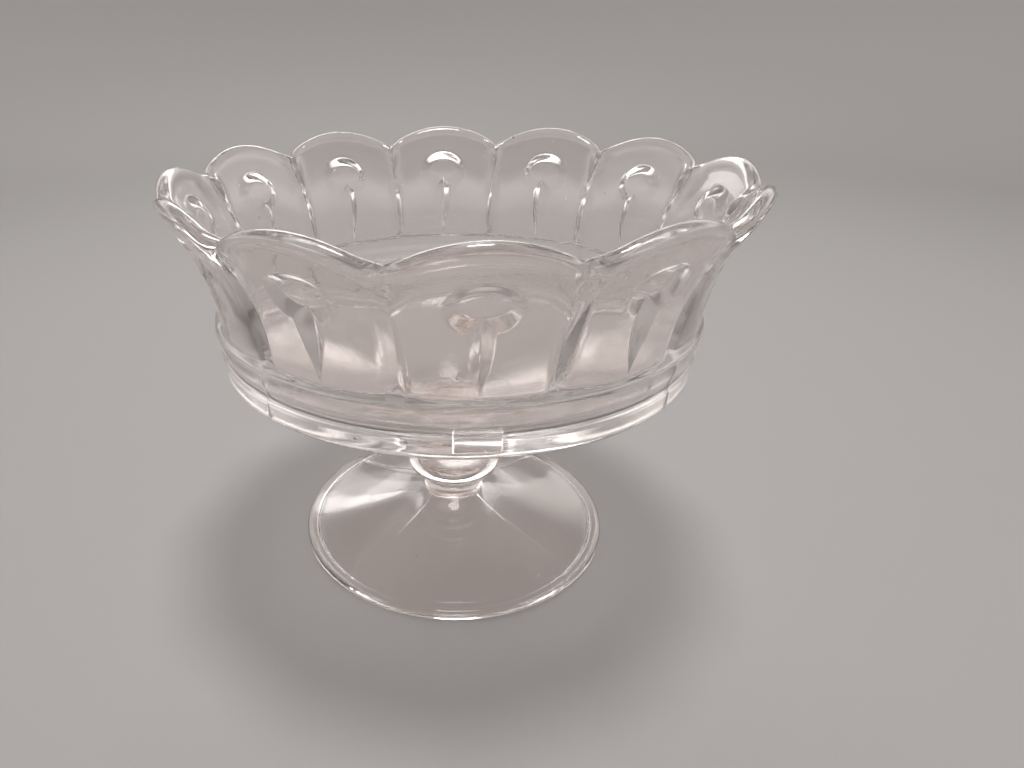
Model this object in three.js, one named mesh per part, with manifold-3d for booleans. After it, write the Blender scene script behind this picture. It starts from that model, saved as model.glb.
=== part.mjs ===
// A footed compote of clear pressed glass: a flared bowl with a ring of arched petals, a knop and a
// short neck under it, and a low conical foot. Millimetres, +Z up, the origin on the axis at the
// base, and the front panel towards -Y.
import * as THREE from 'three';
import { mergeVertices } from 'three/addons/utils/BufferGeometryUtils.js';
import Module from 'manifold-3d';

const wasm = await Module();
wasm.setup();

// Driving dimensions
const petalCount = 12;
const petalTipRadius = 101.8;
const petalTipHeight = 154;
const petalValleyDrop = 7.2;
const rimThickness = 5.8;
const panelFootRadius = 89.5;
const panelFootHeight = 110;
const shoulderRadius = 91;
const shoulderHeight = 107.6;
const bandRadius = 89.7;
const bandFlare = 0.6;
const ringRadius = 90.3;
const ringTopHeight = 97.8;
const ringBottomHeight = 91.6;
const bowlBaseHeight = 57;
const bowlSeatRadius = 17;
const floorHeight = 64.5;
const innerPanelFootRadius = 83.2;
const knopRadius = 20.4;
const knopEdgeHeight = 34.4;
const knopBottomHeight = 30.9;
const neckRadius = 13.5;
const neckBottomHeight = 22.6;
const footRadius = 70;
const footEdgeThickness = 4.4;
const footRestWidth = 3.6;
const footTopRadius = 13.2;
const footHollowHeight = 14.5;
const gap = 0.3;

// The walls of the panels: a slight crown, and a groove between two panels that widens upwards
const panelCrown = 1.4;
const grooveDepth = { foot: 2.2, rim: 3.4 };
const grooveShare = { foot: 0.14, rim: 0.22 };

// Keyhole sunk into each panel: a broad dish with sloping sides, and a pointed V-groove under it
const keyholeFacets = { headSegments: 16, spikeSides: 4, spikeRows: 6 };
const headRadius = 10.4;
const headHeight = 136;
const headDepth = 2.2;
const headFloorRadius = 7.1;
const headStretch = { floor: 0.56, mouth: 0.78 };
const spikeLength = 29;
const spikeShoulder = 8.4;
const spikeHalfWidth = 4.2;
const spikeDepth = 3.4;
const spikeTipHeight = 110.6;
const clearance = 3;

// The registration tab on the lower ring, under the front panel
const tabWidth = 14.6;
const tabRise = 2.6;
const tabProud = 0.7;
const tabBottomHeight = 92.6;
const tabDepth = 4;

// Where the columns of facets stand across a petal: 0 in its middle, 1 in the valley
const columnPlaces = [-0.92, -0.82, -0.45, 0, 0.45, 0.82, 0.92, 1];
const turnSegments = 48;
const petalAngle = 2 * Math.PI / petalCount;
const frontAngle = -Math.PI / 2;

const glass = (name, geometry, colour) => {
  const material = new THREE.MeshStandardMaterial({ color: colour, roughness: 0.06, metalness: 0 });
  const mesh = new THREE.Mesh(geometry, material);
  mesh.name = name;
  return mesh;
};

const point = (radius, height) => new THREE.Vector2(radius, height);

// Points along a bend from start to end, pulled towards the corner between them
const bend = (start, corner, end, steps) =>
  new THREE.QuadraticBezierCurve(start, corner, end).getPoints(steps);

const smooth = (points, steps) => new THREE.SplineCurve(points).getPoints(steps);

const evenly = (count) => Array.from({ length: count }, (_, column) => column / count * 2 * Math.PI);

// A closed surface turned about Z, with a column of facets at each angle. The profile starts and
// ends on the axis, and place() may move each of its points as a function of the angle.
function revolve(profile, angles, place) {
  const columns = angles.length;
  const vertices = [];
  const faces = [];
  const ringStart = (row) => 1 + (row - 1) * columns;
  const last = profile.length - 1;
  const push = (angle, row) => {
    const [radius, height] = place(angle, profile[row], row);
    vertices.push(radius * Math.cos(angle), radius * Math.sin(angle), height);
  };
  push(0, 0);
  for (let row = 1; row < last; row++) {
    for (const angle of angles) push(angle, row);
  }
  push(0, last);
  const top = vertices.length / 3 - 1;
  for (let column = 0; column < columns; column++) {
    const next = (column + 1) % columns;
    faces.push(0, ringStart(1) + next, ringStart(1) + column);
    faces.push(ringStart(last - 1) + column, ringStart(last - 1) + next, top);
    for (let row = 1; row < last - 1; row++) {
      const a = ringStart(row) + column;
      const b = ringStart(row) + next;
      const c = ringStart(row + 1) + next;
      const d = ringStart(row + 1) + column;
      faces.push(a, b, c, a, c, d);
    }
  }
  const geometry = new THREE.BufferGeometry();
  geometry.setAttribute('position', new THREE.Float32BufferAttribute(vertices, 3));
  geometry.setIndex(faces);
  return geometry;
}

const keepPlace = (angle, at) => [at.x, at.y];
const turned = (profile) => revolve(profile, evenly(turnSegments), keepPlace);

function toSolid(geometry) {
  const bare = geometry.clone();
  bare.deleteAttribute('normal');
  bare.deleteAttribute('uv');
  const merged = mergeVertices(bare, 1e-4);
  return new wasm.Manifold(new wasm.Mesh({
    numProp: 3,
    vertProperties: new Float32Array(merged.attributes.position.array),
    triVerts: new Uint32Array(merged.index.array),
  }));
}

function toGeometry(solid) {
  const mesh = solid.getMesh();
  const geometry = new THREE.BufferGeometry();
  geometry.setAttribute('position', new THREE.BufferAttribute(mesh.vertProperties, 3));
  geometry.setIndex(new THREE.BufferAttribute(mesh.triVerts, 1));
  return geometry;
}

// Where a place lies across its petal: 0 in the middle, 1 in the valley on either side
function acrossPetal(angle) {
  const turns = (angle - frontAngle) / petalAngle;
  return 2 * Math.abs(turns - Math.round(turns));
}

// How far up the flare a height lies: 0 at the panel's foot, 1 at the petal's tip
const upFlare = (height) =>
  THREE.MathUtils.clamp((height - panelFootHeight) / (petalTipHeight - panelFootHeight), 0, 1);

const outerBase = () => [
  point(0, bowlBaseHeight),
  point(bowlSeatRadius, bowlBaseHeight),
  ...smooth([point(bowlSeatRadius + 2, bowlBaseHeight + 0.6), point(42, 67.5), point(64, 78),
    point(83, 87.6)], 3),
  ...bend(point(86, 88.8), point(89.6, 89.3), point(ringRadius, ringBottomHeight), 3),
];

const outerMouldings = () => [
  point(ringRadius, ringTopHeight - 0.6),
  point(bandRadius, ringTopHeight + 0.2),
  point(bandRadius + bandFlare, shoulderHeight - 4.6),
  ...bend(point(shoulderRadius - 0.8, shoulderHeight - 2.4), point(shoulderRadius + 0.3, shoulderHeight - 1),
    point(shoulderRadius - 0.4, shoulderHeight + 0.8), 2),
];

// The panels rise almost upright and flare to the tips
const outerPanel = () => smooth([
  point(panelFootRadius, panelFootHeight),
  point(89.9, 118),
  point(91, 126.5),
  point(93.2, 134),
  point(97.2, 142),
  point(101.2, 148.8),
], 7);

const rimBead = () => bend(
  point(petalTipRadius, petalTipHeight - rimThickness / 2),
  point(petalTipRadius - 0.4, petalTipHeight + 0.2),
  point(petalTipRadius - rimThickness / 2, petalTipHeight), 2,
).concat(bend(
  point(petalTipRadius - rimThickness / 2 - 0.8, petalTipHeight),
  point(petalTipRadius - rimThickness - 0.2, petalTipHeight - 0.2),
  point(petalTipRadius - rimThickness, petalTipHeight - rimThickness / 2), 2,
));

const innerWall = () => smooth([
  point(93.6, 145.6),
  point(88.8, 136.5),
  point(85.8, 127),
  point(84.3, 118),
  point(innerPanelFootRadius, 108),
  point(81, 98.6),
  point(75.5, 92.4),
  point(62, 85),
  point(40, 74.5),
  point(18, 66.6),
  point(0, floorHeight),
], 11);

// How far a wall is drawn in from the round: the panel's crown, and the groove beside it
function wallDent(across, up) {
  const share = THREE.MathUtils.lerp(grooveShare.foot, grooveShare.rim, up);
  const depth = THREE.MathUtils.lerp(grooveDepth.foot, grooveDepth.rim, up);
  const intoGroove = Math.max(0, (across - 1 + share) / share);
  return panelCrown * across ** 2 + depth * intoGroove ** 1.5;
}

function petalColumns() {
  const angles = [];
  for (let petal = 0; petal < petalCount; petal++) {
    for (const place of columnPlaces) angles.push(frontAngle + (petal + place / 2) * petalAngle);
  }
  return angles;
}

function bowlBody() {
  const lower = [...outerBase(), ...outerMouldings()];
  const panel = outerPanel();
  const bead = rimBead();
  const inner = innerWall();
  const profile = [...lower, ...panel, ...bead, ...inner];
  const firstScalloped = lower.length;
  const firstInner = lower.length + panel.length + bead.length;
  const place = (angle, at, row) => {
    if (row < firstScalloped) return [at.x, at.y];
    const across = acrossPetal(angle);
    const up = upFlare(at.y);
    const fade = row < firstInner ? 1 : up ** 2;
    return [at.x - fade * wallDent(across, up), at.y - petalValleyDrop * up * across ** 2];
  };
  return toSolid(revolve(profile, petalColumns(), place));
}

// The radius of the panel's outer face on its middle line, read from the flare's own curve
function panelRadius(height) {
  const line = outerPanel();
  const above = Math.max(1, line.findIndex((at) => at.y > height));
  const low = line[above - 1];
  const high = line[above];
  return THREE.MathUtils.mapLinear(height, low.y, high.y, low.x, high.x);
}

// The dish that the head leaves, made lying flat with its mouth upwards. It is an oval, and its
// floor is a flatter oval than its mouth.
function keyholeHead() {
  const profile = [
    point(0, -headDepth),
    point(headFloorRadius, -headDepth),
    point(headRadius, 0),
    point(headRadius + clearance / 2, clearance),
    point(0, clearance),
  ];
  const oval = (angle, at, row) => {
    const stretch = row === 1 ? headStretch.floor : headStretch.mouth;
    return [at.x * (1 - (1 - stretch) * Math.sin(angle) ** 2), at.y];
  };
  return revolve(profile, evenly(keyholeFacets.headSegments), oval);
}

// A four-sided dagger standing on its point, whose inner half cuts the groove. Its width swells as
// a quarter wave up to its shoulder.
function keyholeSpike() {
  const profile = [point(0, 0)];
  for (let row = 1; row <= keyholeFacets.spikeRows; row++) {
    const up = row / keyholeFacets.spikeRows;
    profile.push(point(spikeHalfWidth * Math.sin(Math.PI / 2 * up), (spikeLength - spikeShoulder) * up));
  }
  profile.push(point(0, spikeLength));
  const geometry = revolve(profile, evenly(keyholeFacets.spikeSides), keepPlace);
  geometry.scale(1, spikeDepth / spikeHalfWidth, 1);
  return geometry;
}

// Leans an upright shape with the front panel between two heights, its origin on the panel's face
function onFrontPanel(geometry, lowHeight, highHeight, height) {
  const lean = Math.atan2(panelRadius(highHeight) - panelRadius(lowHeight), highHeight - lowHeight);
  return geometry.rotateX(lean).translate(0, -panelRadius(height), height);
}

function keyhole() {
  const reach = headRadius * headStretch.mouth;
  const head = keyholeHead().rotateX(Math.PI / 2);
  onFrontPanel(head, headHeight - reach, headHeight + reach, headHeight);
  const spike = onFrontPanel(keyholeSpike(), spikeTipHeight, spikeTipHeight + spikeLength, spikeTipHeight);
  return toSolid(head).add(toSolid(spike));
}

function registrationTab() {
  const height = ringTopHeight + tabRise - tabBottomHeight;
  const box = new THREE.BoxGeometry(tabWidth, tabDepth, height);
  box.translate(0, -ringRadius - tabProud + tabDepth / 2, tabBottomHeight + height / 2);
  return toSolid(box);
}

function bowl() {
  let solid = bowlBody();
  const motif = keyhole();
  for (let petal = 0; petal < petalCount; petal++) {
    solid = solid.subtract(motif.rotate([0, 0, petal * 360 / petalCount]));
  }
  return toGeometry(solid.add(registrationTab()));
}

// Rounded lower edge, a drawn-in waist, and a small spread under the bowl
const knopProfile = () => [
  point(0, knopBottomHeight),
  point(neckRadius - 0.5, knopBottomHeight),
  ...bend(point(knopRadius - 3, knopBottomHeight + 0.4), point(knopRadius, knopEdgeHeight - 2),
    point(knopRadius, knopEdgeHeight), 3),
  ...smooth([point(knopRadius - 0.4, knopEdgeHeight + 2), point(knopRadius - 2.6, knopEdgeHeight + 7),
    point(knopRadius - 3.6, knopEdgeHeight + 13), point(bowlSeatRadius, bowlBaseHeight - gap)], 6),
  point(0, bowlBaseHeight - gap),
];

const neckProfile = () => [
  point(0, neckBottomHeight),
  point(neckRadius - 0.8, neckBottomHeight),
  ...smooth([point(neckRadius, neckBottomHeight + 1.2), point(neckRadius, neckBottomHeight + 4.4),
    point(neckRadius - 1.1, knopBottomHeight - gap)], 4),
  point(0, knopBottomHeight - gap),
];

// A turned disc, hollow beneath, standing on a flat ring
const footProfile = () => [
  point(0, footHollowHeight),
  ...smooth([point(18, footHollowHeight - 1.6), point(40, 7.8), point(58, 2.9), point(64.6, 0.9)], 6),
  point(footRadius - 1.4 - footRestWidth, 0),
  point(footRadius - 1.4, 0),
  ...bend(point(footRadius - 0.4, 0.8), point(footRadius + 0.3, footEdgeThickness / 2),
    point(footRadius - 0.6, footEdgeThickness - 0.9), 3),
  point(footRadius - 2, footEdgeThickness),
  ...smooth([point(65.4, 5.1), point(44, 11), point(24, 17),
    point(footTopRadius, neckBottomHeight - gap - 1)], 7),
  point(footTopRadius - 0.8, neckBottomHeight - gap),
  point(0, neckBottomHeight - gap),
];

const compote = new THREE.Group();
compote.add(
  glass('bowl', bowl(), 0xf0ece8),
  glass('stem_knop', turned(knopProfile()), 0xefeae6),
  glass('neck_wafer', turned(neckProfile()), 0xeee8e4),
  glass('foot', turned(footProfile()), 0xf0ebe6),
);

export default compote;
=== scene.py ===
# %% [markdown]
# A footed compote in clear pressed glass. The real thing is pressed hot in an iron mould and joined
# while it is soft, so it has only four lots of glass: the bowl, the knop under it, a short neck and
# the foot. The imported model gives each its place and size, and this script gives each the fine,
# fire-polished surface that a faceted solid can't have. It starts by loading that model.

import math

import bmesh
import bpy
from mathutils import Matrix, Vector
from mathutils.geometry import interpolate_bezier


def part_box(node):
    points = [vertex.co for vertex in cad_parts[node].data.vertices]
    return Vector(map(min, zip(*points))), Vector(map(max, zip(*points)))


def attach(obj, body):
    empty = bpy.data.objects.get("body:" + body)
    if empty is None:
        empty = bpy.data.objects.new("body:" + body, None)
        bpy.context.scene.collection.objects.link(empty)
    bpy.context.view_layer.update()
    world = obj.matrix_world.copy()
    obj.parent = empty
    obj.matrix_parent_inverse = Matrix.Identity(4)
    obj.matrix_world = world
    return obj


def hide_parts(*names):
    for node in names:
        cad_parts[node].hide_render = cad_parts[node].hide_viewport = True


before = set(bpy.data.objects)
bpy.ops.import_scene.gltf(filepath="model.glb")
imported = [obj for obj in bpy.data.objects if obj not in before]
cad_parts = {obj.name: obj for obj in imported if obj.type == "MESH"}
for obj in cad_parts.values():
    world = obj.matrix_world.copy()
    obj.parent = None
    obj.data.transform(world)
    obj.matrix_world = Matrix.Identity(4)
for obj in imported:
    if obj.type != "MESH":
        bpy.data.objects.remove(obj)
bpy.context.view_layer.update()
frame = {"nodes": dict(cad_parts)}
MM = 0.001
print("packed nodes:", ", ".join(frame["nodes"]))

bowl_low, bowl_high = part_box("bowl")
knop_low, knop_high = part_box("stem_knop")
neck_low, neck_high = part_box("neck_wafer")
foot_low, foot_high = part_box("foot")
print("bowl", [round(v / MM, 1) for v in bowl_high - bowl_low], "mm")
print("foot", [round(v / MM, 1) for v in foot_high - foot_low], "mm")

# %% [markdown]
# The camera stands close in front of the compote and looks down into it with a wide lens, as a
# hand-held camera does over a table. The picture is a part of a wider one, so the lens axis lies
# left of and below its middle: that is what the shift does. A small roll keeps the table level.

# %% Camera
CAMERA_PLACE = Vector((-0.0186, -0.248, 0.1925))
CAMERA_DOWN = math.radians(37.16)
CAMERA_TURN = math.radians(-1.49)
CAMERA_ROLL = math.radians(-0.86)
SENSOR = 36.0
LENS = 22.56
LENS_SHIFT = (0.0821, 0.1224)
NEAREST_SEEN = 0.01

camera_data = bpy.data.cameras.new("camera")
camera_data.sensor_width = SENSOR
camera_data.lens = LENS
camera_data.shift_x, camera_data.shift_y = LENS_SHIFT
camera_data.clip_start = NEAREST_SEEN
camera = bpy.data.objects.new("camera", camera_data)
bpy.context.scene.collection.objects.link(camera)
camera.matrix_world = (
    Matrix.Translation(CAMERA_PLACE)
    @ Matrix.Rotation(CAMERA_TURN, 4, "Z")
    @ Matrix.Rotation(math.pi / 2 - CAMERA_DOWN, 4, "X")
    @ Matrix.Rotation(CAMERA_ROLL, 4, "Z")
)
bpy.context.scene.camera = camera
print("camera stands", round(CAMERA_PLACE.length, 3), "m from the foot's middle")

# %% [markdown]
# Turned glass is modelled ring by ring, as on a lathe: a circle is extruded, and each new ring is
# moved up or down and resized. The helpers here do that with the same operators that a hand would
# use. Curves between two rings are Bezier curves, so an outline needs only a few numbers, each a
# radius and a height in millimetres. Where curves and short straights meet, the rings lie close
# together, and that keeps an edge tight when a subdivision surface rounds the whole piece.

# %% Ring helpers
SAME_PLACE = 1e-5
SMOOTH_ANGLE = 40


def start_rings(name, radius, height, columns):
    """Adds a filled circle at a height, its outer ring selected in edit mode."""
    bpy.ops.object.select_all(action="DESELECT")
    bpy.ops.mesh.primitive_circle_add(
        vertices=columns, radius=radius, fill_type="TRIFAN", location=(0, 0, height))
    piece = bpy.context.object
    piece.name = name
    bpy.ops.object.transform_apply(location=True, rotation=True, scale=True)
    bpy.ops.object.mode_set(mode="EDIT")
    bpy.ops.mesh.select_mode(type="VERT")
    select_where(piece, lambda at: at.xy.length > radius / 2)
    return piece


def select_where(piece, wanted, only=None):
    """Selects the vertices whose place is wanted, among all of them or among those in only."""
    bpy.ops.mesh.select_all(action="DESELECT")
    mesh = bmesh.from_edit_mesh(piece.data)
    mesh.verts.ensure_lookup_table()
    for vertex in mesh.verts if only is None else [mesh.verts[index] for index in only]:
        vertex.select = wanted(vertex.co)
    mesh.select_flush_mode()
    bmesh.update_edit_mesh(piece.data)


def selected_ring(piece):
    """The indices of the selected vertices, with the widest radius and the height among them."""
    mesh = bmesh.from_edit_mesh(piece.data)
    mesh.verts.index_update()
    chosen = [v for v in mesh.verts if v.select]
    widest = max(v.co.xy.length for v in chosen)
    return {v.index for v in chosen}, widest, chosen[0].co.z


def add_rings(piece, outline):
    """Extrudes the selected ring through each (radius, height) of an outline."""
    for radius, height in outline:
        _, old_radius, old_height = selected_ring(piece)
        bpy.ops.mesh.extrude_region_move(
            TRANSFORM_OT_translate={"value": (0, 0, height - old_height)})
        bpy.ops.transform.resize(
            value=(radius / old_radius, radius / old_radius, 1), center_override=(0, 0, height))


def close_rings(piece):
    """Draws the last ring together to one point and turns all faces outwards."""
    bpy.ops.mesh.merge(type="CENTER")
    bpy.ops.mesh.select_all(action="SELECT")
    bpy.ops.mesh.remove_doubles(threshold=SAME_PLACE)
    bpy.ops.mesh.normals_make_consistent(inside=False)
    bpy.ops.object.mode_set(mode="OBJECT")


def curve(start, pull_start, pull_end, end, steps):
    """Points after start on a Bezier curve to end, each an outline's (radius, height) in mm."""
    knots = [Vector((x, z, 0)) for x, z in (start, pull_start, pull_end, end)]
    return [(p.x * MM, p.y * MM) for p in interpolate_bezier(*knots, steps + 1)[1:]]


def straight(*points):
    """An outline's points given in mm, in metres."""
    return [(x * MM, z * MM) for x, z in points]


def apply_modifiers(piece):
    """Applies all of a piece's modifiers in their order."""
    bpy.ops.object.select_all(action="DESELECT")
    piece.select_set(True)
    bpy.context.view_layer.objects.active = piece
    for modifier in list(piece.modifiers):
        bpy.ops.object.modifier_apply(modifier=modifier.name)


def edit(piece):
    """Opens a piece alone in edit mode."""
    bpy.ops.object.select_all(action="DESELECT")
    piece.select_set(True)
    bpy.context.view_layer.objects.active = piece
    bpy.ops.object.mode_set(mode="EDIT")
    bpy.ops.mesh.select_mode(type="VERT")


def smooth_surface(piece, levels):
    """Rounds a ring model with a subdivision surface and shades it smooth."""
    surface = piece.modifiers.new("round", "SUBSURF")
    surface.levels = surface.render_levels = levels
    surface.use_limit_surface = False
    apply_modifiers(piece)
    bpy.ops.object.shade_smooth_by_angle(angle=math.radians(SMOOTH_ANGLE))
    print(piece.name, len(piece.data.polygons), "faces")


# %% [markdown]
# The foot is a low cone, hollow beneath, that stands on a narrow flat ring just inside its rim. The
# hollow starts with a small steep step, which shows through the glass as a line round the foot, and
# the rim has a tight round above and below, which gives a second one. A spin about the axis would
# give the same form. Rings were chosen because each can still be moved alone.

# %% Foot
COLUMNS = 96
FOOT_HOLLOW = 14.5
rim_radius = foot_high.x / MM
foot_top = foot_high.z / MM
foot = start_rings("foot_glass", 4 * MM, FOOT_HOLLOW * MM, COLUMNS)
add_rings(foot, curve((4, FOOT_HOLLOW), (30, 11.5), (48, 5.2), (62.2, 2.7), 9))
add_rings(foot, straight((63.1, 2.45), (63.7, 2.1), (64.3, 1.1), (64.7, 0.4), (65.3, 0.06), (66.2, 0)))
add_rings(foot, straight((67.6, 0), (68.6, 0.12), (69.5, 0.6), (rim_radius, 1.5), (rim_radius, 3.1)))
add_rings(foot, straight((69.6, 4.1), (68.9, 4.65), (67.6, 4.95), (65.4, 5.3)))
add_rings(foot, curve((65.4, 5.3), (46, 9.0), (26, 14.6), (13.6, 20.7), 9))
add_rings(foot, straight((13.1, 21.5), (12.7, foot_top - 0.1), (12.2, foot_top), (6, foot_top)))
close_rings(foot)
smooth_surface(foot, 2)

# %% [markdown]
# The mould opened in four, and where its parts met it left four fine seams. They run straight down
# the top of the foot, and down the bowl's band later on. A bump in the material could draw them, but
# a real ridge also bends the light behind it. On the fine mesh each seam is one column of vertices,
# lifted by a third of a millimetre. The foot's top and its hollow are told apart by a sloping line
# through the middle of its wall.

# %% Mould seams
SEAM_LIFT = 0.35
SEAM_ANGLES = [math.radians(45 + 90 * part) for part in range(4)]
SEAM_WIDTH = 0.003
FOOT_SEAM = (14.5, 67)
WALL_MIDDLE = 18.5
WALL_SLOPE = 0.235


def on_seam(at):
    """Whether a place lies on one of the four planes through the axis where the mould opened."""
    angle = math.atan2(at.y, at.x) % (2 * math.pi)
    return any(abs(angle - seam) < SEAM_WIDTH for seam in SEAM_ANGLES)


def on_foot_top(at):
    """Whether a place of the foot lies on its top, and not in the hollow under it."""
    return at.z > WALL_MIDDLE * MM - WALL_SLOPE * at.xy.length


edit(foot)
select_where(foot, lambda at: on_seam(at) and on_foot_top(at)
             and FOOT_SEAM[0] * MM < at.xy.length < FOOT_SEAM[1] * MM)
print("seam places on the foot", sum(v.select for v in bmesh.from_edit_mesh(foot.data).verts))
bpy.ops.transform.translate(value=(0, 0, SEAM_LIFT * MM))
bpy.ops.object.mode_set(mode="OBJECT")

# %% [markdown]
# The neck is a short, thick wafer of glass, round like a bead. It is fused to the knop and the foot,
# so it reaches a hair into both: a film of air there would shine like a mirror, which the real joint
# doesn't.

# %% Neck
NECK_REACH = 0.5
neck_bottom = neck_low.z / MM - NECK_REACH
neck_top = neck_high.z / MM + NECK_REACH
neck = start_rings("neck_glass", 6 * MM, neck_bottom * MM, COLUMNS)
add_rings(neck, straight((12, neck_bottom), (12.7, neck_bottom + 0.15), (13.1, neck_bottom + 0.8)))
add_rings(neck, curve((13.1, neck_bottom + 0.8), (14.1, 25.2), (14.1, 27.8), (11.9, neck_top - 0.5), 6))
add_rings(neck, straight((11.3, neck_top), (6, neck_top)))
close_rings(neck)
smooth_surface(neck, 2)

# %% [markdown]
# The knop is the gather of glass that carries the bowl: a drawn-in waist that spreads to a full
# round edge at the bottom. That edge gathers light into a bright band, so its round is one long
# curve, and the top reaches a hair into the bowl, as the neck does into its neighbours.

# %% Knop
KNOP_REACH = 0.3
knop_radius = knop_high.x / MM
knop_bottom = knop_low.z / MM
knop_top = knop_high.z / MM + KNOP_REACH
knop = start_rings("knop_glass", 6 * MM, knop_bottom * MM, COLUMNS)
add_rings(knop, straight((12.6, knop_bottom), (14.6, knop_bottom + 0.06)))
add_rings(knop, curve((14.6, knop_bottom + 0.06), (18.8, knop_bottom + 0.2),
                      (knop_radius + 0.1, 32.2), (knop_radius, 34.5), 6))
add_rings(knop, curve((knop_radius, 34.5), (20.4, 38.6), (16.2, 41.5), (16.4, 49), 8))
add_rings(knop, straight((16.6, 53), (16.8, knop_top - 0.4), (16.6, knop_top), (8, knop_top)))
close_rings(knop)
smooth_surface(knop, 2)

# %% [markdown]
# The bowl starts the same way, as rings. From the panels' foot upwards it has twelve petals, and a
# lathe can't give those. So each new ring of the wall is drawn in, column by column: a little for
# the crown of each panel, and steeply for the groove between two panels, which widens towards the
# rim. The inside follows the grooves only near the rim.

# %% Petal values
PETALS = 12
HALF_COLUMNS = 12
PANEL_FOOT = 110.0
PANEL_CROWN = 1.4
GROOVE_DEPTH = (2.2, 3.4)
GROOVE_SHARE = (0.14, 0.22)
GROOVE_POWER = 1.5
SAME_COLUMN = 0.01
BOWL_REACH = 0.15
tip_height = bowl_high.z / MM
panel_rise = tip_height - PANEL_FOOT
petal_angle = 2 * math.pi / PETALS


def across_petal(at):
    """0 on a petal's middle line, 1 in the valleys beside it."""
    turns = (math.atan2(at.y, at.x) + math.pi / 2) / petal_angle
    return 2 * abs(turns - round(turns))


def part_way(low_high, share):
    """The value a share of the way from the low to the high one."""
    return low_high[0] + (low_high[1] - low_high[0]) * share


def wall_dent(across, up):
    """How far in from the round the wall lies, in mm, by the place across and up the petal."""
    groove_share = part_way(GROOVE_SHARE, up)
    into_groove = max(0, (across - 1 + groove_share) / groove_share)
    return PANEL_CROWN * across ** 2 + part_way(GROOVE_DEPTH, up) * into_groove ** GROOVE_POWER


column_shares = [1.0] * (HALF_COLUMNS + 1)


def add_petal_rings(piece, outline, inside=False):
    """Adds rings of the petals' wall, each column drawn in by its own dent.

    An extruded ring already has the last ring's dents, so only the change of share is applied.
    """
    for radius, height in outline:
        add_rings(piece, [(radius, height)])
        up = min(1, max(0, (height / MM - PANEL_FOOT) / panel_rise))
        fade = up ** 2 if inside else 1
        ring, _, _ = selected_ring(piece)
        for column in range(1, HALF_COLUMNS + 1):
            across = column / HALF_COLUMNS
            share = 1 - fade * wall_dent(across, up) * MM / radius
            select_where(piece, lambda at: abs(across_petal(at) - across) < SAME_COLUMN, ring)
            inwards = share / column_shares[column]
            bpy.ops.transform.resize(value=(inwards, inwards, 1), center_override=(0, 0, height))
            column_shares[column] = share
        select_where(piece, lambda at: True, ring)


# %% [markdown]
# Now the outline is walked round once: under the bowl, up over the lower ring, the plain band and the
# shoulder, up the flaring panels, over the rim and down the inside to the middle of its floor.

# %% Bowl rings
bowl_base = bowl_low.z / MM - BOWL_REACH
bowl = start_rings("bowl_glass", 8 * MM, bowl_base * MM, PETALS * 2 * HALF_COLUMNS)
add_rings(bowl, straight((15, bowl_base), (17.1, bowl_base + 0.1), (19, 57.8)))
add_rings(bowl, curve((19, 57.8), (38, 64.8), (62, 76.8), (83, 87.5), 4))
add_rings(bowl, curve((83, 87.5), (87.2, 89.3), (90.4, 88.9), (90.4, 92.2), 4))
add_rings(bowl, straight((90.4, 96.4), (90.25, 97.2), (89.85, 97.6), (89.7, 98.1), (89.75, 100)))
add_rings(bowl, curve((89.75, 100), (90.1, 102.8), (91.2, 103.6), (91.1, 106.9), 4))
add_rings(bowl, straight((90.8, 107.9), (90, 108.5)))
add_petal_rings(bowl, straight((89.2, 108.9), (89.1, 109.6), (89.35, 110.8)))
add_petal_rings(bowl, curve((89.35, 110.8), (89.9, 124), (92.6, 136.2), (101.2, 149), 8))
rim_outer = (101.2, 149)
rim_inner = (95.2, 149.6)
add_petal_rings(bowl, curve(rim_outer, (103, 152), (101.6, tip_height), (98.8, tip_height + 0.1), 3))
add_petal_rings(bowl, curve((98.8, tip_height + 0.1), (96.6, tip_height), (96.0, 151.6), rim_inner, 3))
add_petal_rings(bowl, curve(rim_inner, (89.2, 137.5), (84.4, 124), (83.3, 110), 8), inside=True)
add_petal_rings(bowl, curve((83.3, 110), (83, 98.5), (80, 94.4), (70, 89), 5), inside=True)
add_rings(bowl, curve((70, 89), (50, 79.4), (26, 68), (4, 64.7), 5))
close_rings(bowl)
print("bowl rings", len(bowl.data.vertices) // (PETALS * 2 * HALF_COLUMNS))

# %% [markdown]
# The rim drops into a valley between the petals, so each column of the wall is squeezed down by its
# own share. The grooves end at the shoulder in a small rounded ramp, and their bottoms keep a sharp
# crease through the subdivision surface. Last, the four mould seams are drawn down the band.

# %% Petals
VALLEY_DROP = 7.2
RAMP_RISE = 2.6
RAMP_START = 0.8
RAMP_HEIGHTS = (108.7, 111)
OUTER_WALL = 84
GROOVE_CREASE = 0.75
BAND_SEAM = (89, 107)
BAND_SEAM_SHARE = 1.0035
bpy.ops.object.mode_set(mode="EDIT")
for column in range(1, HALF_COLUMNS + 1):
    across = column / HALF_COLUMNS
    select_where(bowl, lambda at: at.z > PANEL_FOOT * MM
                 and abs(across_petal(at) - across) < SAME_COLUMN)
    squeeze = 1 - VALLEY_DROP / panel_rise * across ** 2
    bpy.ops.transform.resize(value=(1, 1, squeeze), center_override=(0, 0, PANEL_FOOT * MM))
    if across > RAMP_START:
        ramp = RAMP_RISE * ((across - RAMP_START) / (1 - RAMP_START)) ** 2
        select_where(bowl, lambda at: at.xy.length > OUTER_WALL * MM
                     and RAMP_HEIGHTS[0] * MM < at.z < RAMP_HEIGHTS[1] * MM
                     and abs(across_petal(at) - across) < SAME_COLUMN)
        bpy.ops.transform.translate(value=(0, 0, ramp * MM))
select_where(bowl, lambda at: at.z > PANEL_FOOT * MM and across_petal(at) > 1 - SAME_COLUMN)
bpy.ops.transform.edge_crease(value=GROOVE_CREASE)
bpy.ops.mesh.select_all(action="SELECT")
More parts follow.
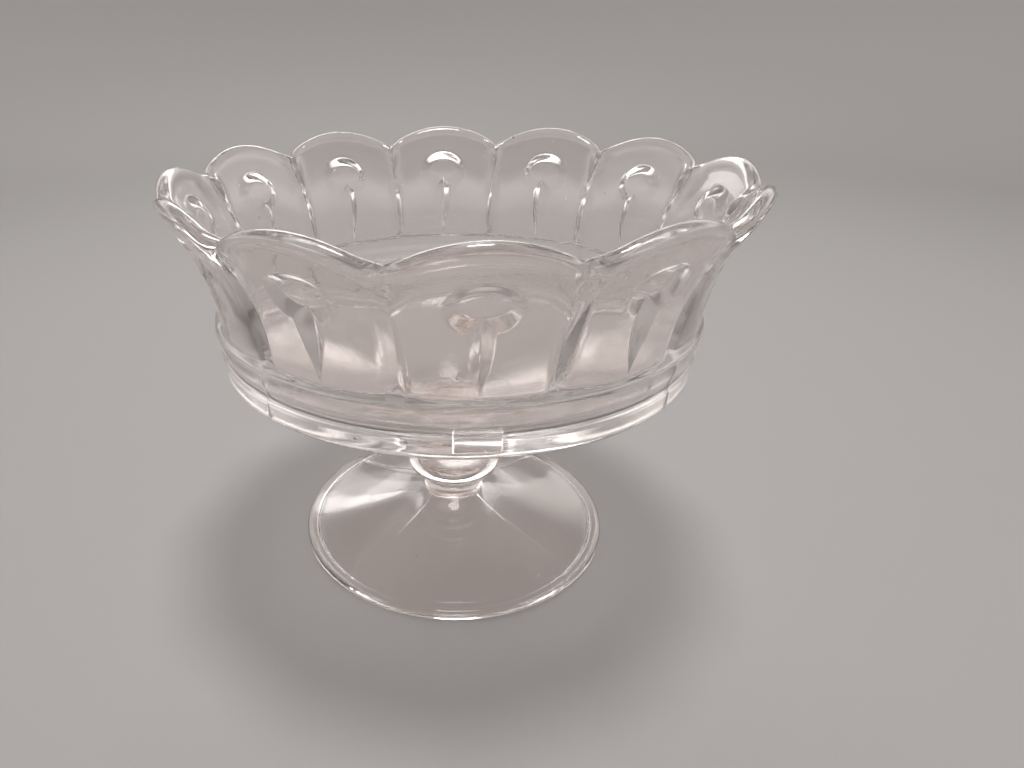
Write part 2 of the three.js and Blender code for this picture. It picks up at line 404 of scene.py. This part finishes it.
bpy.ops.mesh.normals_make_consistent(inside=False)
bpy.ops.object.mode_set(mode="OBJECT")
smooth_surface(bowl, 1)
edit(bowl)
select_where(bowl, lambda at: on_seam(at) and at.xy.length > BAND_SEAM[0] * MM
             and BAND_SEAM[0] * MM < at.z < BAND_SEAM[1] * MM)
print("seam places on the band", sum(v.select for v in bmesh.from_edit_mesh(bowl.data).verts))
bpy.ops.transform.resize(value=(BAND_SEAM_SHARE, BAND_SEAM_SHARE, 1), center_override=(0, 0, 0))
bpy.ops.object.mode_set(mode="OBJECT")

# %% [markdown]
# A keyhole is sunk into each panel: a broad oval dish with sloping sides, and a pointed V-groove
# that hangs from it. A cutter made on a flat plane would bite deeper where the panel is crowned, so
# each cutter starts as a flat sheet, is wrapped onto the panel, and is then pressed in along the
# panel's own normals. A vertex group says how deep each place goes. The sheet's border stays a hair
# above the glass, which leaves the edge of the keyhole softly rounded, as fire-polished glass is.

# %% Keyhole helpers
PROUD = 0.07
DEEPEST = 3.4
CUTTER_FRONT = 8


def set_depth(depth):
    """Gives the selected places of a sheet the depth, in mm, that they are pressed in."""
    bpy.context.tool_settings.vertex_group_weight = (depth + PROUD) / (DEEPEST + PROUD)
    bpy.ops.object.vertex_group_assign()


def place_mesh(piece, matrix):
    """Puts a piece's place into its mesh, its object staying at the origin."""
    piece.matrix_world = matrix
    bpy.ops.object.select_all(action="DESELECT")
    piece.select_set(True)
    bpy.context.view_layer.objects.active = piece
    bpy.ops.object.transform_apply(location=True, rotation=True, scale=True)


def press_sheet(sheet, height, cap_distance):
    """Stands a sheet in front of the panel, wraps it on, presses it in and closes it in front.

    The height is that of the sheet's middle, and the flat cap that closes the cutter lies at the cap
    distance in front of the axis, well clear of the glass.
    """
    place_mesh(sheet, Matrix.Translation((0, -cap_distance * MM, height * MM))
               @ Matrix.Rotation(math.pi / 2, 4, "X"))
    wrap = sheet.modifiers.new("wrap", "SHRINKWRAP")
    wrap.target = bowl
    wrap.wrap_method = "PROJECT"
    wrap.use_project_y = True
    wrap.use_positive_direction = True
    lift = sheet.modifiers.new("lift", "DISPLACE")
    lift.mid_level = 0
    lift.strength = PROUD * MM
    press = sheet.modifiers.new("press", "DISPLACE")
    press.mid_level = 0
    press.strength = -(DEEPEST + PROUD) * MM
    press.vertex_group = "depth"
    apply_modifiers(sheet)
    edit(sheet)
    bpy.ops.mesh.select_all(action="SELECT")
    bpy.ops.mesh.region_to_loop()
    bpy.ops.mesh.extrude_region_move(TRANSFORM_OT_translate={"value": (0, -CUTTER_FRONT * MM, 0)})
    bpy.ops.transform.resize(value=(1, 0, 1), center_override=(0, -cap_distance * MM, 0))
    bpy.ops.mesh.edge_face_add()
    bpy.ops.mesh.select_all(action="SELECT")
    bpy.ops.mesh.normals_make_consistent(inside=False)
    bpy.ops.object.mode_set(mode="OBJECT")
    bpy.ops.object.shade_smooth()


# %% [markdown]
# The keyhole's head is an oval dish: a flat middle, a slope all round, and an edge that fades out of
# the panel over two millimetres. It starts as a small disc, and each extruded ring gets its size and
# its depth, so the slope is as smooth as the rings are close.

# %% Keyhole head
HEAD_HEIGHT = 136.0
HEAD_SIDES = 64
HEAD_START = 2.0
HEAD_CAP = 114
HEAD_RINGS = (          # half width, half height, depth
    (4.0, 2.0, 2.3), (6.3, 3.1, 2.28), (6.9, 3.6, 2.2), (7.4, 4.05, 2.0), (8.3, 5.0, 1.4),
    (9.3, 6.1, 0.76), (9.8, 6.6, 0.46), (10.15, 6.95, 0.26), (10.45, 7.25, 0.12),
    (10.8, 7.55, 0.02), (11.2, 7.9, -PROUD),
)
bpy.ops.object.select_all(action="DESELECT")
bpy.ops.mesh.primitive_circle_add(vertices=HEAD_SIDES, radius=HEAD_START * MM, fill_type="TRIFAN")
head = bpy.context.object
head.name = "keyhole_head"
head.vertex_groups.new(name="depth")
edit(head)
bpy.ops.mesh.select_all(action="SELECT")
set_depth(HEAD_RINGS[0][2])
select_where(head, lambda at: at.xy.length > HEAD_START / 2 * MM)
width, height = HEAD_START, HEAD_START
for new_width, new_height, depth in HEAD_RINGS:
    bpy.ops.mesh.extrude_region_move()
    bpy.ops.transform.resize(value=(new_width / width, new_height / height, 1),
                             center_override=(0, 0, 0))
    set_depth(depth)
    width, height = new_width, new_height
bpy.ops.object.mode_set(mode="OBJECT")
press_sheet(head, HEAD_HEIGHT, HEAD_CAP)
print("keyhole head faces", len(head.data.polygons))

# %% [markdown]
# Under the head hangs the dagger, a V-groove that swells from its point to a shoulder and narrows
# again inside the head. It is a grid with a column for each place across the V. Every row has its own
# width, which no single resize gives, so a loop sets each vertex's place and its depth.

# %% Keyhole dagger
SPIKE_TIP = 110.6
SPIKE_SHOULDER = 130.6
SPIKE_TOP = 138.8
SPIKE_HALF_WIDTH = 4.2
SPIKE_LEAST_WIDTHS = (0.12, 0.3)          # at its point, at its top
SPIKE_SLOPE = 0.81
SPIKE_SIDES = ((-1.15, 0), (-1, 0.03), (-0.88, 0.12), (-0.5, 0.5), (-0.07, 0.97),
               (0.07, 0.97), (0.5, 0.5), (0.88, 0.12), (1, 0.03), (1.15, 0))
SPIKE_ROWS = 22
SPIKE_MARGIN = 0.25
SPIKE_OVERRUN = 0.5
SPIKE_CAP = 115


def spike_width(height):
    """The dagger's half width at a height, in mm: a quarter wave up to its shoulder."""
    if height > SPIKE_SHOULDER:
        narrowed = (SPIKE_TOP - height) / (SPIKE_TOP - SPIKE_SHOULDER)
        return max(SPIKE_LEAST_WIDTHS[1], SPIKE_HALF_WIDTH * narrowed)
    swell = max(0, (height - SPIKE_TIP) / (SPIKE_SHOULDER - SPIKE_TIP))
    return max(SPIKE_LEAST_WIDTHS[0], SPIKE_HALF_WIDTH * math.sin(math.pi / 2 * swell))


bpy.ops.object.select_all(action="DESELECT")
bpy.ops.mesh.primitive_grid_add(
    x_subdivisions=len(SPIKE_SIDES) - 1, y_subdivisions=SPIKE_ROWS, size=2)
spike = bpy.context.object
spike.name = "keyhole_dagger"
group = spike.vertex_groups.new(name="depth")
for vertex in spike.data.vertices:
    column = round((vertex.co.x + 1) / 2 * (len(SPIKE_SIDES) - 1))
    share = (vertex.co.y + 1) / 2
    tall = SPIKE_TIP - SPIKE_OVERRUN + share * (SPIKE_TOP - SPIKE_TIP + SPIKE_OVERRUN)
    side, depth_share = SPIKE_SIDES[column]
    half_width = spike_width(tall)
    margin = SPIKE_MARGIN if abs(side) > 1 else 0
    on_border = share < 0.01 or share > 0.99 or abs(side) > 1
    vertex.co.x = (side * half_width + math.copysign(margin, side)) * MM
    vertex.co.y = (tall - HEAD_HEIGHT) * MM
    depth = -PROUD if on_border else depth_share * half_width * SPIKE_SLOPE
    group.add([vertex.index], (depth + PROUD) / (DEEPEST + PROUD), "REPLACE")
press_sheet(spike, HEAD_HEIGHT, SPIKE_CAP)
print("dagger faces", len(spike.data.polygons))

# %% [markdown]
# A small moulded tab stands on the lower ring under the front panel. It is a cube, drawn to size and
# rounded with a bevel.

# %% Tab
TAB_SIZE = Vector((14.6, 4.0, 7.8))
TAB_MIDDLE = Vector((0, -89.1, 96.5))
TAB_ROUND = 0.9
TAB_ROUND_STEPS = 4
bpy.ops.object.select_all(action="DESELECT")
bpy.ops.mesh.primitive_cube_add(size=1, location=TAB_MIDDLE * MM, scale=TAB_SIZE * MM)
tab = bpy.context.object
tab.name = "tab"
bpy.ops.object.transform_apply(location=True, rotation=True, scale=True)
rounding = tab.modifiers.new("round", "BEVEL")
rounding.width = TAB_ROUND * MM
rounding.segments = TAB_ROUND_STEPS
apply_modifiers(tab)
print("tab", [round(v, 1) for v in TAB_SIZE], "mm,", len(tab.data.polygons), "faces")

# %% [markdown]
# The keyhole is copied round the bowl, each copy with its own mesh, and all twelve are cut at once
# with a Boolean modifier. The tab is joined on in the same way, so the bowl stays one skin. The
# edges of the cuts are shaded smooth up to a smaller angle, so that the V stays crisp.

# %% Cut the keyholes and join the tab
CUT_ANGLE = 32


def boolean(target, other, operation):
    """Cuts or joins the other piece, which is then gone."""
    join = target.modifiers.new("join", "BOOLEAN")
    join.operation = operation
    join.solver = "MANIFOLD"
    join.object = other
    apply_modifiers(target)
    bpy.data.objects.remove(other)


boolean(head, spike, "UNION")
copies = []
for petal in range(PETALS):
    copy = head.copy()
    copy.data = head.data.copy()
    bpy.context.scene.collection.objects.link(copy)
    place_mesh(copy, Matrix.Rotation(petal * petal_angle, 4, "Z"))
    copies.append(copy)
bpy.data.objects.remove(head)
bpy.ops.object.select_all(action="DESELECT")
for copy in copies:
    copy.select_set(True)
bpy.context.view_layer.objects.active = copies[0]
bpy.ops.object.join()
boolean(bowl, copies[0], "DIFFERENCE")
boolean(bowl, tab, "UNION")
edit(bowl)
bpy.ops.mesh.select_all(action="SELECT")
bpy.ops.mesh.remove_doubles(threshold=SAME_PLACE)
bpy.ops.object.mode_set(mode="OBJECT")
bpy.ops.object.shade_smooth_by_angle(angle=math.radians(CUT_ANGLE))
print("bowl with its keyholes", len(bowl.data.polygons), "faces")

# %% [markdown]
# Old pressed glass is clear with a faint warm tint. Its surface has slow waves from the mould and a
# few seeds, and years of washing leave a fine grain in patches and a breath of haze all over. The
# haze is a share of 3% that scatters light instead of letting it through. The rest shows only by how
# the glass bends light, so its colour stays almost white, and noise textures drive the bumps and the
# roughness. These helpers each add one node and link it.

# %% Node helpers
def noise(nodes, links, place, size, detail):
    """A noise texture on the object's own coordinates, with spots of about this size."""
    texture = nodes.new("ShaderNodeTexNoise")
    texture.inputs["Scale"].default_value = 1 / size
    texture.inputs["Detail"].default_value = detail
    links.new(place, texture.inputs["Vector"])
    return texture.outputs["Fac"]


def remap(nodes, links, value, low, high, to_low, to_high):
    """Stretches the values from low to high over to_low to to_high, and holds them beyond."""
    ramp = nodes.new("ShaderNodeMapRange")
    for socket, number in zip(("From Min", "From Max", "To Min", "To Max"),
                              (low, high, to_low, to_high)):
        ramp.inputs[socket].default_value = number
    links.new(value, ramp.inputs["Value"])
    return ramp.outputs["Result"]


def bump(nodes, links, height, distance, below=None, strength=None):
    """Bumps the surface by a height, on top of the bump below it."""
    relief = nodes.new("ShaderNodeBump")
    relief.inputs["Distance"].default_value = distance
    links.new(height, relief.inputs["Height"])
    if below:
        links.new(below, relief.inputs["Normal"])
    if strength:
        links.new(strength, relief.inputs["Strength"])
    return relief.outputs["Normal"]


# %% [markdown]
# One function makes the glass of every piece, because it is all one melt. Only the size and height of
# the waves and the wear differ: the foot is rubbed most, and the knop and the neck, which nothing
# touches, stayed bright. The bumps are stacked: waves, then seeds, then the grain, which is strong
# only in the worn patches.

# %% Glass
WARM_CLEAR = (0.96, 0.918, 0.9, 1)
GLASS_IOR = 1.51
HAZE = 0.03
SEED_SPACING = 11 * MM
SEED_EDGE = (0.02, 0.05)          # where its slope starts and ends, in spacings
SEED_HEIGHT = 0.2 * MM
PATCH_SIZE = 30 * MM
GRAIN_PATCHES = (0.42, 0.68)
LEAST_GRAIN = 0.15
ROUGH_PATCHES = (0.45, 0.75)
LEAST_ROUGH = 0.01
GRAIN_SIZE = 0.8 * MM
GRAIN_HEIGHT = 0.035 * MM


def clear_glass(name, wave_size, wave_height, wear):
    """A clear glass whose roughness rises from almost none to its wear in patches."""
    material = bpy.data.materials.new(name)
    material.use_nodes = True
    nodes = material.node_tree.nodes
    links = material.node_tree.links
    shader = nodes["Principled BSDF"]
    shader.inputs["Base Color"].default_value = WARM_CLEAR
    shader.inputs["Transmission Weight"].default_value = 1 - HAZE
    shader.inputs["IOR"].default_value = GLASS_IOR
    place = nodes.new("ShaderNodeTexCoord").outputs["Object"]

    waves = bump(nodes, links, noise(nodes, links, place, wave_size, detail=1.5), wave_height)
    bubbles = nodes.new("ShaderNodeTexVoronoi")
    bubbles.inputs["Scale"].default_value = 1 / SEED_SPACING
    links.new(place, bubbles.inputs["Vector"])
    seed_spot = remap(nodes, links, bubbles.outputs["Distance"], *SEED_EDGE, 1, 0)
    seeds = bump(nodes, links, seed_spot, SEED_HEIGHT, waves)
    patches = noise(nodes, links, place, PATCH_SIZE, detail=5)
    worn = remap(nodes, links, patches, *GRAIN_PATCHES, LEAST_GRAIN, 1)
    fine = noise(nodes, links, place, GRAIN_SIZE, detail=3)
    grain = bump(nodes, links, fine, GRAIN_HEIGHT, seeds, worn)
    links.new(grain, shader.inputs["Normal"])
    rough = remap(nodes, links, patches, *ROUGH_PATCHES, LEAST_ROUGH, wear)
    links.new(rough, shader.inputs["Roughness"])
    return material


finishes = {          # name, wave size, wave height, wear
    bowl: clear_glass("pressed_bowl_glass", 26 * MM, 0.25 * MM, 0.06),
    knop: clear_glass("knop_glass_finish", 14 * MM, 0.15 * MM, 0.03),
    neck: clear_glass("neck_glass_finish", 12 * MM, 0.12 * MM, 0.03),
    foot: clear_glass("foot_glass_finish", 34 * MM, 0.2 * MM, 0.1),
}
for piece, finish in finishes.items():
    piece.data.materials.clear()
    piece.data.materials.append(finish)
    print(piece.name, "has", finish.name, "of", len(finish.node_tree.nodes), "nodes")

# %% [markdown]
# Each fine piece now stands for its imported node. Nothing moves on a compote, so all ride on the one
# body. A path tracer finds little of the light that comes through clear glass, and would show a dark
# disc under the foot that real glass doesn't have, so the foot alone casts no shadow.

# %% Pieces take their places
stands_for = {bowl: "bowl", knop: "stem_knop", neck: "neck_wafer", foot: "foot"}
for piece, node in stands_for.items():
    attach(piece, "root")
    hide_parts(node)
    print(piece.name, "stands for", node)
foot.visible_shadow = False

# %% [markdown]
# Glass shows its surroundings and little else. The floor is a round sheet of pale paper that curves
# up all round, so every view has a plain background. A plane would do in front, but its far edge
# would show in the glass. It is made with the same rings as the glass, and its faces look inwards.

# %% Floor
SWEEP_RADIUS = 1.5
SWEEP_BEND = 0.42
SWEEP_STEPS = 8
SWEEP_SIDES = 64
SWEEP_START = 0.2
FLOOR_DROP = 0.1 * MM
PALE_PAPER = (0.39, 0.375, 0.37, 1)
PAPER_ROUGHNESS = 0.9
floor = start_rings("paper_floor", SWEEP_START, -FLOOR_DROP, SWEEP_SIDES)
flat_radius = SWEEP_RADIUS - SWEEP_BEND
add_rings(floor, [(flat_radius, -FLOOR_DROP)])
for step in range(1, SWEEP_STEPS + 1):
    angle = math.pi / 2 * step / SWEEP_STEPS
    add_rings(floor, [(flat_radius + SWEEP_BEND * math.sin(angle),
                       SWEEP_BEND * (1 - math.cos(angle)) - FLOOR_DROP)])
bpy.ops.mesh.select_all(action="SELECT")
bpy.ops.mesh.normals_make_consistent(inside=True)
bpy.ops.object.mode_set(mode="OBJECT")
bpy.ops.object.shade_smooth()
paper = bpy.data.materials.new("pale_paper")
paper.use_nodes = True
paper_shader = paper.node_tree.nodes["Principled BSDF"]
paper_shader.inputs["Base Color"].default_value = PALE_PAPER
paper_shader.inputs["Roughness"].default_value = PAPER_ROUGHNESS
floor.data.materials.append(paper)
print("floor", 2 * SWEEP_RADIUS, "m across")

# %% [markdown]
# Two soft boxes light the glass. The one overhead draws the shadow and the spark in the knop. The
# long one stands far behind, outside the paper, and runs along the rims and the foot as thin white
# lines. They are ovals, because a corner would show in the smooth panels.

# %% Lights
LIT_PLACE = Vector((0, 0, 0.1))


def soft_light(name, place, size, power):
    """An oval soft box at a place, facing the bowl and hidden from the camera."""
    data = bpy.data.lights.new(name, "AREA")
    data.shape = "ELLIPSE"
    data.size, data.size_y = size
    data.energy = power
    lamp = bpy.data.objects.new(name, data)
    bpy.context.scene.collection.objects.link(lamp)
    lamp.location = place
    lamp.visible_camera = False
    towards = LIT_PLACE - lamp.location
    lamp.rotation_euler = towards.to_track_quat("-Z", "Y").to_euler()
    print(name, round(towards.length, 2), "m from the bowl")


soft_light("overhead_light", (0.03, 0.07, 1.2), (0.3, 0.26), 6)
soft_light("back_light", (-0.1, 1.65, 0.95), (1.5, 0.4), 6)

# %% [markdown]
# The room is what clear glass shows most. A bright band of wall all round, just above the paper's
# edge, gives each rounded edge its white line. The ceiling is dim, so the panels, which mirror it,
# stay clear. A ramp by height makes both. The camera itself sees a plain wall there, in the tone of
# the paper, whatever side it looks from.

# %% Room
ROOM_STRENGTH = 1.75
ROOM_WARMTH = (1, 0.96, 0.93)
ROOM_TONES = (          # height on a ball round the room, brightness
    (0.2, 0.3), (0.3, 1.0), (0.44, 1.0), (0.58, 0.1), (0.75, 0.14), (0.95, 0.35),
)
WALL_SEEN = (0.3, 0.29, 0.285, 1)
world = bpy.data.worlds.new("room")
bpy.context.scene.world = world
world.use_nodes = True
room_nodes = world.node_tree.nodes
room_links = world.node_tree.links
background = room_nodes["Background"]
upwards = room_nodes.new("ShaderNodeSeparateXYZ")
room_links.new(room_nodes.new("ShaderNodeTexCoord").outputs["Generated"], upwards.inputs["Vector"])
walls = room_nodes.new("ShaderNodeValToRGB")
room_links.new(upwards.outputs["Z"], walls.inputs["Fac"])
walls.color_ramp.elements[0].position = ROOM_TONES[0][0]
walls.color_ramp.elements[1].position = ROOM_TONES[-1][0]
for height, _ in ROOM_TONES[1:-1]:
    walls.color_ramp.elements.new(height)
for element, (_, tone) in zip(walls.color_ramp.elements, ROOM_TONES):
    element.color = (*(tone * share for share in ROOM_WARMTH), 1)
room_links.new(walls.outputs["Color"], background.inputs["Color"])
background.inputs["Strength"].default_value = ROOM_STRENGTH
plain_wall = room_nodes.new("ShaderNodeBackground")
plain_wall.inputs["Color"].default_value = WALL_SEEN
seen = room_nodes.new("ShaderNodeMixShader")
room_links.new(room_nodes.new("ShaderNodeLightPath").outputs["Is Camera Ray"], seen.inputs["Fac"])
room_links.new(background.outputs["Background"], seen.inputs[1])
room_links.new(plain_wall.outputs["Background"], seen.inputs[2])
room_links.new(seen.outputs["Shader"], room_nodes["World Output"].inputs["Surface"])
print("room of", len(walls.color_ramp.elements), "tones")

# %% [markdown]
# Light that is caught in thick glass turns many corners before it comes out. With the usual few
# bounces such a path is cut off and shows as a black patch, so the glass gets two dozen. The plain
# view transform keeps the whites of the rims as bright as they are.

# %% Light paths
BOUNCES = 24
paths = bpy.context.scene.cycles
paths.max_bounces = paths.glossy_bounces = paths.transmission_bounces = BOUNCES
bpy.context.scene.view_settings.view_transform = "Standard"
print("up to", BOUNCES, "bounces")
